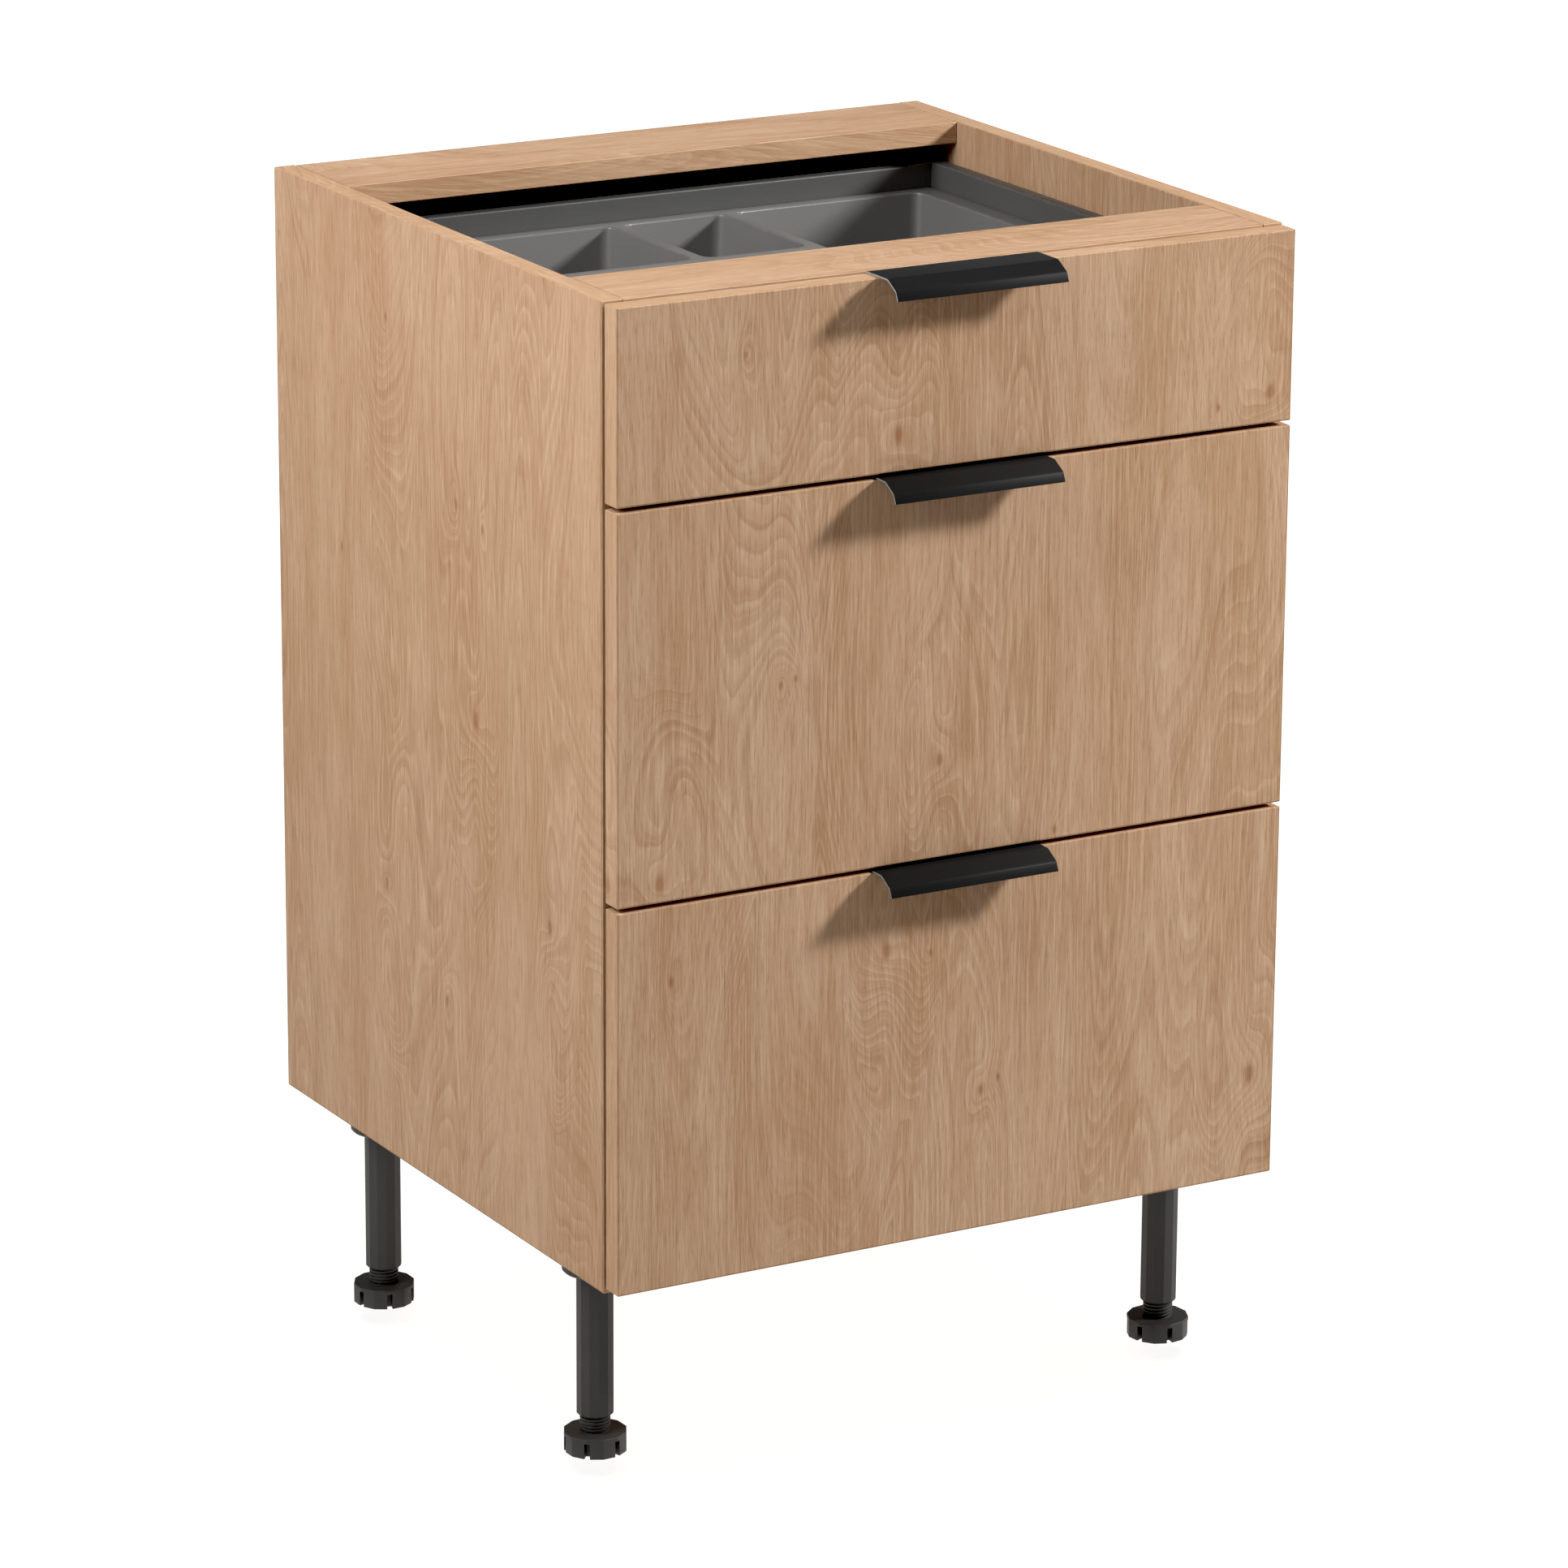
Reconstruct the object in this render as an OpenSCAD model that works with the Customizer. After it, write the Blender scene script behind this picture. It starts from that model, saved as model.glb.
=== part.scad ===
// Kitchen base cabinet with three drawers, standing on adjustable legs.
// X runs to the right, Y to the back and Z up.
// The origin is on the floor, under the middle of the whole footprint.

/* [Carcass] */
// Width over both side panels
cabinet_w = 600; // [450:1:900]
// Height of the side panels
carcass_h = 780; // [770:1:860]
// Depth of the side panels
carcass_d = 560; // [550:1:600]
// Thickness of the sides, the bottom and the top rails
board_t = 18; // [16:0.5:20]
// Depth of the front top rail
front_rail_d = 85; // [75:1:120]
// Depth of the back top rail
back_rail_d = 95; // [75:1:130]
// How far the back rail stands in from the back edge of the sides
back_rail_inset = 1.5; // [0.5:0.5:4]
// Thickness of the hardboard back
back_panel_t = 3; // [2.5:0.5:5]
// Distance from the back edge of the sides to the hardboard back
back_panel_inset = 14; // [10:1:20]
// Depth of the grooves that hold the hardboard back
groove_depth = 6; // [4:0.5:8]
// Bevel along every board edge
arris = 0.8; // [0.3:0.1:1.5]

/* [Drawer fronts] */
// Thickness of the drawer fronts
front_t = 19; // [16:0.5:22]
// Space between the carcass and the back of the fronts
front_gap = 2; // [1.8:0.1:3]
// How far each front ends short of the side of the cabinet
side_reveal = 1.5; // [1:0.5:3]
// From the top of the carcass down to the top front
top_reveal = 1.5; // [1.5:0.5:6]
// From the bottom of the carcass up to the bottom front
bottom_reveal = 4; // [2:0.5:8]
// Gap between two fronts
front_spacing = 4; // [3:0.5:6]
// Height of the top front; the two lower fronts share the rest
top_front_h = 152; // [150:1:170]

/* [Handles] */
// Length of a handle
handle_w = 150; // [120:1:300]
// Thickness of the handle section
handle_t = 1.5; // [1.4:0.1:1.7]
// How far the flat flange runs out past the face of the front
handle_flange = 12.5; // [8:0.5:20]
// Reach of the sloping part
slope_run = 12.5; // [8:0.5:18]
// Fall of the sloping part
slope_drop = 7; // [4:0.5:10]
// Reach of the finger lip
lip_run = 3; // [1:0.5:5]
// Fall of the finger lip
lip_drop = 7; // [5:0.5:12]
// Height of the leg that is screwed to the back of the front
handle_leg = 16; // [14:1:20]
// Distance between the two handle screws
handle_screw_pitch = 96; // [64:32:96]

/* [Drawer boxes] */
// Free depth between the drawer boxes and the hardboard back
box_clear = 57; // [50:1:75]
// Thickness of the double-walled steel sides
side_t = 13; // [12:0.5:16]
// Air between a drawer side and the carcass
side_gap = 5; // [4.5:0.5:6]
// Height of the steel sides of the top drawer
low_side_h = 88; // [84:1:93]
// Height of the steel sides of the two deep drawers
high_side_h = 178; // [120:1:200]
// Sheet thickness of the drawer sides and back
sheet_t = 1.2; // [0.8:0.1:1.5]
// Width of the ledge that carries the drawer bottom, from the outer face
ledge_w = 38; // [34:1:45]
// Thickness of the drawer bottom
bottom_t = 16; // [12:0.5:18]
// Thickness of the folded drawer back
back_t = 12; // [10:0.5:16]
// Width of the corner post between the back and a side
post_w = 22; // [16:1:30]
// How far the corner post stands above the drawer back
post_rise = 1.5; // [0.5:0.5:3]
// Width of the groove in the top rim of a side
rim_groove_w = 1.2; // [0.8:0.1:2]
// Distance of that groove from the outer face
rim_groove_at = 8; // [6:0.5:9]
// Depth of that groove
rim_groove_depth = 0.9; // [0.5:0.1:1]
// Thickness of the base and the wall of a front bracket
bracket_t = 3; // [2:0.5:4]
// Length of a front bracket inside the steel side
bracket_l = 32; // [25:1:45]
// Height of a front bracket
bracket_h = 64; // [56:1:70]
// Distance between the two screws of a front bracket
bracket_screw_pitch = 32; // [24:1:38]

/* [Runners] */
// Free depth between the rails and the hardboard back
rail_clear = 40; // [25:1:45]
// How much shorter than a drawer box its carriages and slides are
slide_short = 12; // [8:1:28]
// How far the runner parts stand in from the carcass front edge
runner_setback = 3; // [2:0.5:6]
// Height of the whole runner
runner_h = 20; // [19:0.5:24]
// Height of the rail's screw flange
runner_flange_h = 26; // [25:0.5:30]
// Sheet thickness of the runner parts
runner_t = 1.5; // [1.2:0.1:1.8]
// From the carcass side to the near wall of the runner channels
channel_at = 6.5; // [6:0.1:8]
// Width of the runner channels
channel_w = 25; // [22:0.5:27]
// Height of the runner channels
channel_h = 6; // [5.6:0.1:6.4]
// Width of the lip that holds the carriage in a channel
hook_w = 6.5; // [5:0.5:7]
// Thickness of the web of the carriage
web_t = 3; // [2:0.5:4]
// Running clearance between runner parts
run_gap = 0.3; // [0.25:0.05:0.4]
// Height of the two upper runners over the lower edge of their fronts
runner_rise = 11.5; // [9:0.5:13]
// Space between the bottom panel and the lowest runner
runner_lift = 4; // [2:0.5:8]
// First runner screw, from the carcass front edge
runner_screw_y = 37; // [32:1:40]
// Steps from one runner screw to the next
runner_screw_step = 192; // [160:32:192]
// Height of the runner screws over the foot of the rail
runner_screw_z = 15; // [14.5:0.5:17]

/* [Cutlery tray] */
// Space between the tray and the drawer
tray_clear = 1; // [0.5:0.5:2]
// Height of the tray
tray_h = 50; // [40:1:60]
// Wall thickness of the tray
tray_t = 2; // [1.5:0.1:2.5]
// Width of the rim round the tray
tray_rim = 19; // [15:1:25]
// Width of the rim along the back of the tray
tray_back_rim = 13; // [10:1:25]
// Width of the bars between the compartments
tray_bar = 12; // [10:0.5:14]
// Width of the three cutlery lanes
lane_w = 92; // [60:1:95]
// Length of the three cutlery lanes
lane_l = 288; // [250:1:300]
// Slope of the compartment walls, measured over their height
tray_draft = 2.5; // [1.5:0.5:3]
// Corner radius of the compartments
tray_corner_r = 9; // [7:0.5:14]
// Fillet radius round the floor of a compartment
tray_floor_r = 5; // [3:0.5:6]
// Rounding of the arris round a compartment
tray_arris = 1.5; // [0.8:0.1:1.8]
// Height of the skirt under the rim
tray_skirt = 12; // [8:1:20]

/* [Legs] */
// Height of the legs, from the floor to the carcass
leg_h = 165; // [150:1:180]
// From the side of the cabinet to the leg's axis
leg_x = 38; // [36:1:60]
// From the front edge of the carcass to the axis of a front leg
leg_front_y = 85; // [75:1:110]
// From the back edge of the carcass to the axis of a back leg
leg_back_y = 100; // [75:1:110]
// Diameter of the socket flange
socket_d = 52; // [50:1:70]
// Height of the socket flange
socket_h = 15; // [8:0.5:20]
// Bevel round the socket flange
socket_bevel = 2; // [1:0.5:3]
// Diameter of the spigot that joins leg and socket
spigot_d = 21; // [16:0.5:24]
// Size of the twelve-sided stem across its flats
stem_af = 29; // [28:0.5:32]
// Bevel at the lower end of the stem
stem_bevel = 2.4; // [1:0.1:3]
// Outer diameter of the foot's thread
thread_d = 24.2; // [20:0.1:25]
// Depth of the thread
thread_depth = 0.9; // [0.5:0.1:1.2]
// Pitch of the thread
thread_pitch = 3; // [2:0.5:4]
// Bare thread between stem and foot
thread_show = 13; // [12.5:0.5:20]
// Length of the thread inside the stem
thread_in = 45; // [40:1:50]
// Depth of the bore in the stem
stem_bore = 62; // [55:1:80]
// Diameter of the foot disc over its corners
foot_d = 51; // [45:1:60]
// Height of the foot disc
foot_h = 16.5; // [14:0.5:20]
// Number of spanner slots in the foot disc
slot_count = 6; // [4:1:8]
// Width of a spanner slot
slot_w = 4.4; // [3:0.1:6]
// Depth of a spanner slot, towards the axis
slot_depth = 7; // [4:0.5:9]
// Solid rim left above the spanner slots
slot_cap = 3.6; // [2:0.1:5]

/* [Fittings] */
// Diameter of the cam housings
cam_d = 15; // [12:0.5:16]
// Height of the cam housings
cam_h = 12.5; // [12:0.1:13]
// From the edge of a board to the middle of its cam
cam_reach = 34; // [24:1:36]
// Diameter of the cam bolts
bolt_d = 6; // [5:0.1:6.4]
// How deep a cam bolt goes into the side panel
bolt_in = 11; // [9:0.5:12]
// Diameter of the wooden dowels
dowel_d = 8; // [6:0.5:8]
// Length of the wooden dowels
dowel_l = 30; // [26:1:34]
// How deep a dowel goes into the side panel
dowel_in = 12; // [10:0.5:13]
// From the middle of a top rail to its two dowels
rail_dowel_y = 26; // [22:1:28]
// From the leg axes to the cams of the bottom panel
cam_from_leg = 60; // [40:1:80]
// From the leg axes to the outer dowels of the bottom panel
dowel_from_leg = 48; // [40:1:55]
// Diameter of the chipboard screws
screw_d = 3.5; // [3:0.1:4]
// Head diameter of the chipboard screws
screw_head_d = 6.4; // [6:0.1:7]
// Head height of the chipboard screws
screw_head_h = 1.3; // [1:0.1:1.3]
// Depth of a chipboard screw in wood
screw_in = 12; // [9:0.5:13]
// Diameter of the runner screws
euro_d = 6; // [5:0.1:6.3]
// Head diameter of the runner screws
euro_head_d = 9; // [8:0.1:9.5]
// Head height of the runner screws
euro_head_h = 1.8; // [1:0.1:2.2]
// Depth of a runner screw in the side panel
euro_in = 11; // [9:0.5:13]
// Diameter of the blind holes for linking two cabinets
link_d = 5; // [4:0.5:7]
// Depth of those holes
link_in = 13; // [10:0.5:14]
// From the front edge of the carcass to the first row of those holes
link_y = 37; // [30:1:60]
// Distance between the front row and the back row
link_pitch_y = 448; // [384:32:480]
// Height of the lower linking holes over the lower edge of the carcass
link_z = 272; // [250:1:290]
// Distance between the lower and the upper linking holes
link_pitch_z = 288; // [256:32:320]
// Radial clearance of pins and screws in their holes
hole_clear = 0.05; // [0.02:0.01:0.1]

/* [Hidden] */

$fn = 48;
top = "top";
middle = "middle";
bottom = "bottom";
left = "left";
right = "right";
eps = 0.01;

// Colours, as the object shows them
oak = "#C39F7D";
oak_front = "#B39170";
hardboard = "#8A6E55";
black_metal = "#161616";
grey_steel = "#707173";
grey_board = "#66676A";
grey_plastic = "#77787A";
black_plastic = "#383735";
zinc = "#B4B6B8";
beech = "#D9B98C";

// Carcass
inner_w = cabinet_w - 2 * board_t;
carcass_z = leg_h;
carcass_top = leg_h + carcass_h;
rail_z = carcass_top - board_t;
back_rail_y = carcass_d - back_rail_inset - back_rail_d;
back_y = carcass_d - back_panel_inset - back_panel_t;
groove_clear = 0.2;

// Fronts, the top one first
deep_front_h = (carcass_h - top_reveal - bottom_reveal - 2 * front_spacing - top_front_h) / 2;
front_w = cabinet_w - 2 * side_reveal;
function front_h(i) = i == top ? top_front_h : deep_front_h;
function fronts_below(i) = i == top ? 2 : i == middle ? 1 : 0;
function front_z(i) = carcass_z + bottom_reveal + fronts_below(i) * (deep_front_h + front_spacing);

// Handles: the section's middle line, forward of the front's back face and above its top edge
handle_reach = handle_flange + slope_run + lip_run;
lip_lean = lip_drop / norm([lip_run, lip_drop]);
handle_line = [
    [-handle_t / 2, -handle_leg],
    [-handle_t / 2, handle_t / 2],
    [front_t + handle_flange - handle_t / 2, handle_t / 2],
    [front_t + handle_flange + slope_run - handle_t / 2, handle_t / 2 - slope_drop],
    [front_t + handle_reach - handle_t / 2 * lip_lean, handle_t / 2 - slope_drop - lip_drop]
];
handle_screw_z = -handle_leg / 2;
// Radius of the bends on the middle line; inside them the arris of the front has a little play
bend_play = 0.06;
bend_r = (arris - bend_play) / (2 - sqrt(2)) + handle_t / 2;

// Middle of the footprint, measured from the carcass front edge
front_reach = front_gap + front_t + handle_reach;
middle_y = (carcass_d - front_reach) / 2;

// Drawer boxes and runners
box_w = inner_w - 2 * side_gap;
box_inner_w = box_w - 2 * side_t;
box_y = -front_gap;
box_l = back_y - box_clear - box_y;
box_back_y = box_y + box_l - back_t;
rail_l = back_y - rail_clear - runner_setback;
slide_l = box_l - slide_short;
function runner_z(i) = i == bottom ? carcass_z + board_t + runner_lift : front_z(i) + runner_rise;
function box_z(i) = runner_z(i) + runner_h;
function side_h(i) = i == top ? low_side_h : high_side_h;
function floor_z(i) = box_z(i) + sheet_t + bottom_t;
function back_h(i) = box_z(i) + side_h(i) - post_rise - floor_z(i);
bracket_z = sheet_t + bottom_t / 2;
rim_round = 1.6;

// Tray
tray_w = box_inner_w - 2 * tray_clear;
tray_y = box_y + tray_clear;
tray_l = box_back_y - tray_clear - tray_y;
tray_z = floor_z(top);
lane_count = 3;
lanes_w = lane_count * lane_w + (lane_count - 1) * tray_bar;
wide_w = tray_w - 2 * tray_rim - lanes_w - tray_bar;
tray_inner_l = tray_l - tray_rim - tray_back_rim;
back_cell_l = tray_inner_l - lane_l - tray_bar;
// Each compartment: left edge, front edge, width and length
cells = concat(
    [for (i = [0 : lane_count - 1]) [tray_rim + i * (lane_w + tray_bar), tray_rim, lane_w, lane_l]],
    [
        [tray_rim, tray_rim + lane_l + tray_bar, 2 * lane_w + tray_bar, back_cell_l],
        [tray_rim + 2 * (lane_w + tray_bar), tray_rim + lane_l + tray_bar, lane_w, back_cell_l],
        [tray_rim + lanes_w + tray_bar, tray_rim, wide_w, tray_inner_l]
    ]
);
arc_steps = 5;

// Legs, each as its place across and its distance from the carcass front edge
stem_end_z = foot_h + thread_show;
stem_top_z = leg_h - socket_h;
stem_corner_r = stem_af / 2 / cos(180 / 12);
leg_axis_x = cabinet_w / 2 - leg_x;
leg_spots = [for (y = [leg_front_y, carcass_d - leg_back_y], s = [-1, 1]) [s * leg_axis_x, y]];
leg_screw_r = (stem_corner_r + socket_d / 2) / 2;

// Joints of the carcass boards, each as a distance from the front edge and a height
front_rail_mid = front_rail_d / 2;
back_rail_mid = back_rail_y + back_rail_d / 2;
rail_axis_z = rail_z + board_t / 2;
bottom_axis_z = carcass_z + board_t / 2;
bottom_cam_y = [leg_front_y + cam_from_leg, carcass_d - leg_back_y - cam_from_leg];
bottom_dowel_y = [leg_front_y - dowel_from_leg, carcass_d / 2, carcass_d - leg_back_y + dowel_from_leg];
cam_spots = concat(
    [[front_rail_mid, rail_axis_z], [back_rail_mid, rail_axis_z]],
    [for (y = bottom_cam_y) [y, bottom_axis_z]]
);
dowel_spots = concat(
    [for (y = [front_rail_mid, back_rail_mid], s = [-1, 1]) [y + s * rail_dowel_y, rail_axis_z]],
    [for (y = bottom_dowel_y) [y, bottom_axis_z]]
);
runner_screw_ys = [for (i = [0 : 2]) runner_screw_y + i * runner_screw_step];

// Everything is drawn from the carcass front edge, then moved over the origin
module placed() {
    translate([0, -middle_y, 0]) children();
}

// Mirrors what is drawn on the right of the cabinet to the given side
module on_side(side) {
    if (side == left) mirror([1, 0, 0]) children();
    else children();
}

// Rectangle with bevelled corners, its low corner at the origin
module eased_rect(w, h, bevel) {
    polygon([
        [bevel, 0], [w - bevel, 0], [w, bevel], [w, h - bevel],
        [w - bevel, h], [bevel, h], [0, h - bevel], [0, bevel]
    ]);
}

// Board with every edge eased, its low corner at the origin
module board(w, d, h) {
    intersection() {
        linear_extrude(h) eased_rect(w, d, arris);
        rotate([90, 0, 90]) linear_extrude(w) eased_rect(d, h, arris);
        translate([0, d, 0]) rotate([90, 0, 0]) linear_extrude(d) eased_rect(w, h, arris);
    }
}

// Rod along X that starts at the given point and runs to the right
module rod_x(x, y, z, r, l) {
    translate([x, y, z]) rotate([0, 90, 0]) cylinder(r = r, h = l);
}

// Countersunk screw along Z: its head's face at the origin, its point upwards
module screw(through) {
    rotate_extrude() polygon([
        [0, 0], [screw_head_d / 2, 0], [screw_d / 2, screw_head_h],
        [screw_d / 2, through + screw_in - screw_d], [0, through + screw_in]
    ]);
}

// Hole for such a screw in the part that it passes through
module screw_hole(through) {
    rotate_extrude() polygon([
        [0, -eps], [screw_head_d / 2 + hole_clear, -eps], [screw_head_d / 2 + hole_clear, 0],
        [screw_d / 2 + hole_clear, screw_head_h], [screw_d / 2 + hole_clear, through + eps],
        [0, through + eps]
    ]);
}

// Hole for the point of such a screw in wood
module pilot_hole() {
    translate([0, 0, -eps]) cylinder(r = screw_d / 2 + hole_clear, h = screw_in + eps);
}

// Side panel on the right, with its grooves and drilled holes
module side_panel() {
    x = inner_w / 2;
    groove_z = carcass_z + board_t - groove_depth;
    groove_top = rail_z + groove_depth;
    difference() {
        translate([x, 0, carcass_z]) board(board_t, carcass_d, carcass_h);
        translate([x - eps, back_y - groove_clear, groove_z])
            cube([groove_depth + eps, back_panel_t + 2 * groove_clear, groove_top - groove_z]);
        for (p = cam_spots) rod_x(x - eps, p[0], p[1], bolt_d / 2 + hole_clear, bolt_in + eps);
        for (p = dowel_spots) rod_x(x - eps, p[0], p[1], dowel_d / 2 + hole_clear, dowel_in + eps);
        for (i = [top, middle, bottom], y = runner_screw_ys)
            rod_x(x - eps, y, runner_z(i) + runner_screw_z, euro_d / 2 + hole_clear, euro_in + eps);
        for (j = [0, 1], k = [0, 1]) rod_x(
            x - eps, link_y + j * link_pitch_y, carcass_z + link_z + k * link_pitch_z,
            link_d / 2, link_in + eps
        );
    }
}

// Holes for bolts, cams and dowels at both ends of a board that lies flat
module board_end_holes(cams, dowels, axis_z) {
    x = inner_w / 2;
    for (side = [left, right]) on_side(side) {
        for (y = cams) {
            rod_x(x - cam_reach, y, axis_z, bolt_d / 2 + hole_clear, cam_reach + eps);
            translate([x - cam_reach, y, axis_z - board_t / 2 - eps])
                cylinder(r = cam_d / 2 + hole_clear, h = cam_h + eps + hole_clear);
        }
        for (y = dowels)
            rod_x(x - dowel_l + dowel_in, y, axis_z, dowel_d / 2 + hole_clear, dowel_l - dowel_in + eps);
    }
}

module bottom_panel() {
    color(oak) placed() difference() {
        translate([-inner_w / 2, 0, carcass_z]) board(inner_w, carcass_d - back_rail_inset, board_t);
        translate([-inner_w / 2 - eps, back_y - groove_clear, carcass_z + board_t - groove_depth])
            cube([inner_w + 2 * eps, back_panel_t + 2 * groove_clear, groove_depth + eps]);
        board_end_holes(bottom_cam_y, bottom_dowel_y, bottom_axis_z);
        at_leg_screws() translate([0, 0, carcass_z]) pilot_hole();
    }
}

module front_rail() {
    color(oak) placed() difference() {
        translate([-inner_w / 2, 0, rail_z]) board(inner_w, front_rail_d, board_t);
        board_end_holes([front_rail_mid], [for (s = [-1, 1]) front_rail_mid + s * rail_dowel_y], rail_axis_z);
    }
}

module back_rail() {
    color(oak) placed() difference() {
        translate([-inner_w / 2, back_rail_y, rail_z]) board(inner_w, back_rail_d, board_t);
        translate([-inner_w / 2 - eps, back_y - groove_clear, rail_z - eps])
            cube([inner_w + 2 * eps, back_panel_t + 2 * groove_clear, groove_depth + eps]);
        board_end_holes([back_rail_mid], [for (s = [-1, 1]) back_rail_mid + s * rail_dowel_y], rail_axis_z);
    }
}

// Hardboard back, held in grooves on all four sides
module back_panel() {
    w = inner_w + 2 * (groove_depth - groove_clear);
    z = carcass_z + board_t - groove_depth + groove_clear;
    h = rail_z + groove_depth - groove_clear - z;
    color(hardboard) placed() translate([-w / 2, back_y, z]) cube([w, back_panel_t, h]);
}

// Cam bolt: thread in the side panel, shank, neck and the head that the cam grips
module cam_bolt() {
    r = bolt_d / 2;
    neck_r = 1.5;
    head_r = 2.4;
    neck_l = 4;
    head_l = 2.5;
    point = 1;
    neck_z = bolt_in + cam_reach - cam_d / 2 + neck_l / 2;
    head_z = neck_z + neck_l;
    rotate([0, -90, 0]) translate([0, 0, -bolt_in]) rotate_extrude() polygon([
        [0, 0], [r - point, 0], [r, point], [r, neck_z], [neck_r, neck_z], [neck_r, head_z],
        [head_r, head_z], [head_r, head_z + head_l], [0, head_z + head_l]
    ]);
}

// Cam housing seen from below, with the way in for the bolt on its right
module cam_housing() {
    slot = [9, 1.6, 2.5];
    difference() {
        cylinder(d = cam_d, h = cam_h);
        rod_x(-bolt_d / 2, 0, board_t / 2, bolt_d / 2 + hole_clear, cam_d);
        for (a = [0, 90]) rotate([0, 0, a])
            translate([-slot[0] / 2, -slot[1] / 2, -eps]) cube([slot[0], slot[1], slot[2] + eps]);
    }
}

module cam_bolts() {
    color(zinc) placed() for (side = [left, right], p = cam_spots)
        on_side(side) translate([inner_w / 2, p[0], p[1]]) cam_bolt();
}

module cam_housings() {
    color(zinc) placed() for (side = [left, right], p = cam_spots)
        on_side(side) translate([inner_w / 2 - cam_reach, p[0], p[1] - board_t / 2]) cam_housing();
}

module wood_dowels() {
    color(beech) placed() for (side = [left, right], p = dowel_spots)
        on_side(side) rod_x(inner_w / 2 - dowel_l + dowel_in, p[0], p[1], dowel_d / 2, dowel_l);
}

// Repeats its children at the four screws of each leg socket
module at_leg_screws() {
    for (p = leg_spots, a = [45 : 90 : 315])
        translate([p[0] + leg_screw_r * cos(a), p[1] + leg_screw_r * sin(a), 0]) children();
}

module leg_sockets() {
    color(black_plastic) placed() difference() {
        for (p = leg_spots) translate([p[0], p[1], stem_top_z]) rotate_extrude() polygon([
            [spigot_d / 2 + hole_clear, 0], [socket_d / 2 - socket_bevel, 0], [socket_d / 2, socket_bevel],
            [socket_d / 2, socket_h], [spigot_d / 2 + hole_clear, socket_h]
        ]);
        at_leg_screws() translate([0, 0, stem_top_z]) screw_hole(socket_h);
    }
}

module leg_screws() {
    color(zinc) placed() at_leg_screws() translate([0, 0, stem_top_z]) screw(socket_h);
}

// Twelve-sided leg stem with a bored lower end, and a spigot that sits in the socket
module leg_stem(i) {
    p = leg_spots[i];
    r = stem_corner_r;
    over = 1;
    h = stem_top_z - stem_end_z;
    spigot_play = 0.5;
    color(black_plastic) placed() translate([p[0], p[1], stem_end_z]) difference() {
        union() {
            intersection() {
                rotate([0, 0, 180 / 12]) cylinder(r = r, h = h, $fn = 12);
                rotate_extrude() polygon([
                    [0, 0], [r - stem_bevel, 0], [r + over, stem_bevel + over], [r + over, h], [0, h]
                ]);
            }
            translate([0, 0, h - eps]) cylinder(d = spigot_d, h = socket_h - spigot_play + eps);
        }
        translate([0, 0, -eps]) cylinder(r = thread_d / 2 + hole_clear, h = stem_bore + eps);
    }
}

// Threaded foot: a twelve-sided disc with spanner slots, and a ridged spindle
module foot(i) {
    p = leg_spots[i];
    ridge_count = floor(thread_show / thread_pitch);
    spindle_l = thread_show + thread_in;
    ridges = [for (k = [0 : ridge_count - 1], q = [[0, 0], [0.5, -1]])
        [thread_d / 2 + q[1] * thread_depth, foot_h + (k + q[0]) * thread_pitch]];
    disc_bevel = 0.8;
    over = 1;
    // The feet stand as they were last turned
    turn = [47, 22, 15, 40][i];
    color(black_plastic) placed() translate([p[0], p[1], 0]) {
        difference() {
            union() {
                intersection() {
                    rotate([0, 0, turn]) cylinder(d = foot_d, h = foot_h, $fn = 12);
                    rotate_extrude() polygon([
                        [0, 0], [foot_d / 2 + over, 0], [foot_d / 2 + over, foot_h - disc_bevel - over],
                        [foot_d / 2 - disc_bevel, foot_h], [0, foot_h]
                    ]);
                }
                rotate_extrude() polygon(concat(
                    [[0, foot_h - eps], [thread_d / 2, foot_h - eps]],
                    ridges,
                    [
                        [thread_d / 2, foot_h + ridge_count * thread_pitch],
                        [thread_d / 2, foot_h + spindle_l - thread_depth],
                        [thread_d / 2 - thread_depth, foot_h + spindle_l], [0, foot_h + spindle_l]
                    ]
                ));
            }
            for (k = [0 : slot_count - 1]) rotate([0, 0, turn + k * 360 / slot_count])
                translate([foot_d / 2 - slot_depth, -slot_w / 2, -eps])
                    cube([slot_depth + eps, slot_w, foot_h - slot_cap + eps]);
        }
    }
}

// Cross-sections of the runner, from the carcass side inwards and from the foot up
module channel_section(z, up) {
    a = channel_at;
    b = channel_at + channel_w;
    s = up ? 1 : -1;
    z0 = up ? z : z + runner_t;
    polygon([
        [a, z0], [b, z0], [b, z0 + s * channel_h], [b - hook_w, z0 + s * channel_h],
        [b - hook_w, z0 + s * (channel_h - runner_t)], [b - runner_t, z0 + s * (channel_h - runner_t)],
        [b - runner_t, z0 + s * runner_t], [a + runner_t, z0 + s * runner_t],
        [a + runner_t, z0 + s * (channel_h - runner_t)], [a + hook_w, z0 + s * (channel_h - runner_t)],
        [a + hook_w, z0 + s * channel_h], [a, z0 + s * channel_h]
    ]);
}

module rail_section() {
    channel_section(0, true);
    polygon([
        [0, 0], [channel_at + eps, 0], [channel_at + eps, runner_t], [runner_t, runner_t],
        [runner_t, runner_flange_h], [0, runner_flange_h]
    ]);
}

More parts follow.
